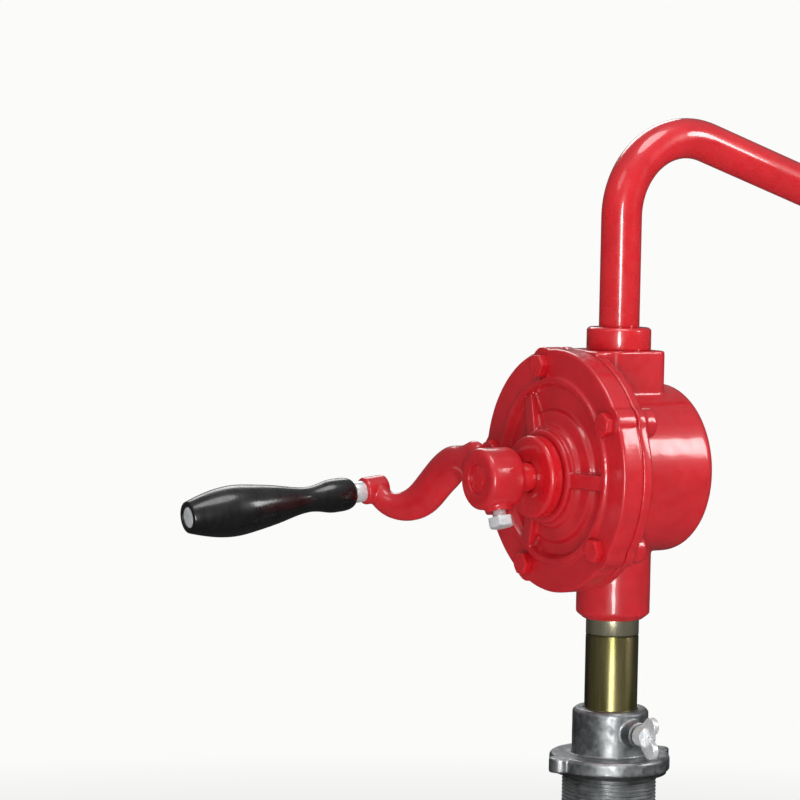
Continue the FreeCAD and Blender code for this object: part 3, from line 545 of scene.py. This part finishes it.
coverBolts = {"across": 13.0, "height": 5.3, "faceShare": 0.9, "edge": 0.35, "seed": 4}
boltBoxes = islandBoxes("cover_bolts")
boltPlaces = [((low.x + high.x) / 2, low.y + coverBolts["height"] * mm / 2, (low.z + high.z) / 2)
              for low, high in boltBoxes]
boltHeads = growPiece("coverBoltHeads", boltHeadTree(), {
    "Across Flats": coverBolts["across"] * mm, "Height": coverBolts["height"] * mm,
    "Face Share": coverBolts["faceShare"], "Seed": coverBolts["seed"],
    "Material": finish["red_enamel"]}, boltPlaces)
paintedEdge = boltHeads.modifiers.new("painted edge", "BEVEL")
paintedEdge.width = coverBolts["edge"] * mm
paintedEdge.segments = 3
paintedEdge.limit_method = "ANGLE"
paintedEdge.angle_limit = math.radians(25)
bakeModifiers(boltHeads)
smoothShade(boltHeads, 50)
standFor(boltHeads, "cover_bolts", "red_enamel_smooth")

threadShape = threadTree()
turns = (thread["to"] - thread["from"]) / thread["pitch"]
bungThread = growPiece("bungThread", threadShape, {
    "Turns": turns, "Middle Radius": (thread["root"] + thread["stand"]) * mm,
    "Length": (thread["to"] - thread["from"]) * mm, "Ridge": thread["ridge"] * mm,
    "Steps": thread["steps"],
    "Material": finish["zinc_casting"]})
shiftMesh(bungThread, Matrix.Translation((0, 0, thread["from"] * mm)))
smoothShade(bungThread, 30)
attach(bungThread, bodyOf["bung_adapter"])

lockNutRibs = {"count": 40, "rib": 0.9, "length": 19.0, "sink": 0.25}
nutLow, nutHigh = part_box("tube_lock_nut")
ribs = growPiece("lockNutRibs", ribTree(), {
    "Count": lockNutRibs["count"], "Ring Radius": nutHigh[0] - lockNutRibs["sink"] * mm,
    "Rib Radius": lockNutRibs["rib"] * mm, "Rib Length": lockNutRibs["length"] * mm,
    "Material": finish["yellow_zinc"]})
shiftMesh(ribs, Matrix.Translation((0, 0, (nutLow[2] + nutHigh[2]) / 2)))
smoothShade(ribs, 50)
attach(ribs, bodyOf["tube_lock_nut"])
print("repeated details made")


studio = {"azimuth": 54.0, "elevation": 5.3, "distance": 1.8, "left": 0.137, "up": 0.043, "roll": 1.0,
          "width": 0.5056, "floor": "#f2f1ee", "backdrop": "#fbfbfa", "floorRadius": 40.0,
          "paperTo": 0.8, "backdropFrom": 2.2, "room": "#f6f7fa", "roomLow": 0.14, "roomHigh": 0.6,
          "roomBack": 0.35, "roomFront": 0.95}


def direction(azimuth, elevation):
    turn, rise = math.radians(azimuth), math.radians(elevation)
    return Vector((math.sin(turn) * math.cos(rise), -math.cos(turn) * math.cos(rise), math.sin(rise)))


def makeCamera():
    toCamera = direction(studio["azimuth"], studio["elevation"])
    right = Vector((0, 0, 1)).cross(toCamera).normalized()
    up = toCamera.cross(right)
    port = Vector((0, 0, shaftHeight))
    aim = port - studio["left"] * right + studio["up"] * up
    place = port + studio["distance"] * toCamera
    data = bpy.data.cameras.new("studioCamera")
    data.sensor_width = 36.0
    data.lens = 36.0 * (place - aim).length / studio["width"]
    camera = bpy.data.objects.new("studioCamera", data)
    camera.location = place
    look = (aim - place).to_track_quat("-Z", "Y").to_matrix()
    roll = Matrix.Rotation(math.radians(studio["roll"]), 3, "Z")
    camera.rotation_euler = (look @ roll).to_euler()
    bpy.context.collection.objects.link(camera)
    bpy.context.scene.camera = camera


def makeFloor():
    # pale paper under the foot, which fades into the backdrop further out
    work = bmesh.new()
    bmesh.ops.create_circle(work, cap_ends=True, segments=96, radius=studio["floorRadius"])
    mesh = bpy.data.meshes.new("floor")
    work.to_mesh(mesh)
    work.free()
    mesh.transform(Matrix.Translation((0, 0, cadLow[2] - 0.5 * mm)))
    floor = bpy.data.objects.new("floor", mesh)
    bpy.context.collection.objects.link(floor)
    material = bpy.data.materials.new("paleStudioPaper")
    material.use_nodes = True
    tree = material.node_tree
    tree.nodes.clear()
    place = addNode(tree, "ShaderNodeTexCoord").outputs["Object"]
    reach = addNode(tree, "ShaderNodeVectorMath", {"operation": "LENGTH"}, {0: place})
    fade = addNode(tree, "ShaderNodeMapRange",
                   {"From Min": studio["paperTo"], "From Max": studio["backdropFrom"]},
                   {"Value": reach.outputs["Value"]})
    paper = addNode(tree, "ShaderNodeBsdfPrincipled",
                    {"Base Color": hexToLinear(studio["floor"]), "Roughness": 0.9})
    glow = addNode(tree, "ShaderNodeEmission", {"Color": hexToLinear(studio["backdrop"])})
    mixed = addNode(tree, "ShaderNodeMixShader", None,
                    {0: fade.outputs[0], 1: paper.outputs[0], 2: glow.outputs[0]})
    addNode(tree, "ShaderNodeOutputMaterial", None, {"Surface": mixed.outputs[0]})
    mesh.materials.append(material)
    floor.visible_glossy = False


# azimuth and elevation in degrees of each soft light as seen from the pump, then its distance,
# width and height in metres and its power in watts
lights = {
    "rightSoftbox": (132, 24, 1.9, 0.32, 0.8, 9.0),
    "frontStrip": (56, -1, 2.1, 0.4, 1.25, 24.0),
    "frontFill": (15, 38, 2.4, 1.0, 0.8, 3.0),
    "topSoftbox": (75, 74, 1.8, 1.0, 1.0, 12.0),
    "backFill": (250, 35, 2.4, 1.4, 1.0, 12.0),
}


def makeLights():
    centre = Vector((0, 0, shaftHeight))
    for name, (azimuth, elevation, away, wide, tall, power) in lights.items():
        data = bpy.data.lights.new(name, "AREA")
        data.shape = "ELLIPSE"
        data.size = wide
        data.size_y = tall
        data.energy = power
        lamp = bpy.data.objects.new(name, data)
        lamp.location = centre + away * direction(azimuth, elevation)
        lamp.rotation_euler = (centre - lamp.location).to_track_quat("-Z", "Y").to_euler()
        lamp.visible_camera = False
        bpy.context.collection.objects.link(lamp)


def makeWorld():
    # The backdrop is pale, and what the pump mirrors is a room: bright above, dim at the back.
    world = bpy.data.worlds.new("studioRoom")
    world.use_nodes = True
    tree = world.node_tree
    tree.nodes.clear()
    place = addNode(tree, "ShaderNodeTexCoord").outputs["Generated"]
    height = addNode(tree, "ShaderNodeSeparateXYZ", None, {0: place}).outputs[2]
    sky = addNode(tree, "ShaderNodeMapRange",
                  {"From Min": -0.1, "From Max": 0.9, "To Min": studio["roomLow"],
                   "To Max": studio["roomHigh"]}, {"Value": height})
    facing = addNode(tree, "ShaderNodeVectorMath",
                     {"operation": "DOT_PRODUCT", 1: direction(studio["azimuth"] + 15, 0)}, {0: place})
    front = addNode(tree, "ShaderNodeMapRange",
                    {"From Min": -0.8, "From Max": 0.6, "To Min": studio["roomBack"],
                     "To Max": studio["roomFront"]},
                    {"Value": facing.outputs["Value"]})
    amount = addNode(tree, "ShaderNodeMath", {"operation": "MULTIPLY"},
                     {0: sky.outputs[0], 1: front.outputs[0]})
    room = addNode(tree, "ShaderNodeBackground", {"Color": hexToLinear(studio["room"])},
                   {"Strength": amount.outputs[0]})
    backdrop = addNode(tree, "ShaderNodeBackground", {"Color": hexToLinear(studio["backdrop"])})
    seen = addNode(tree, "ShaderNodeLightPath").outputs["Is Camera Ray"]
    mixed = addNode(tree, "ShaderNodeMixShader", None,
                    {0: seen, 1: room.outputs[0], 2: backdrop.outputs[0]})
    addNode(tree, "ShaderNodeOutputWorld", None, {"Surface": mixed.outputs[0]})
    bpy.context.scene.world = world


makeCamera()
makeFloor()
makeLights()
makeWorld()
bpy.context.scene.view_settings.view_transform = "Standard"
print("studio made")
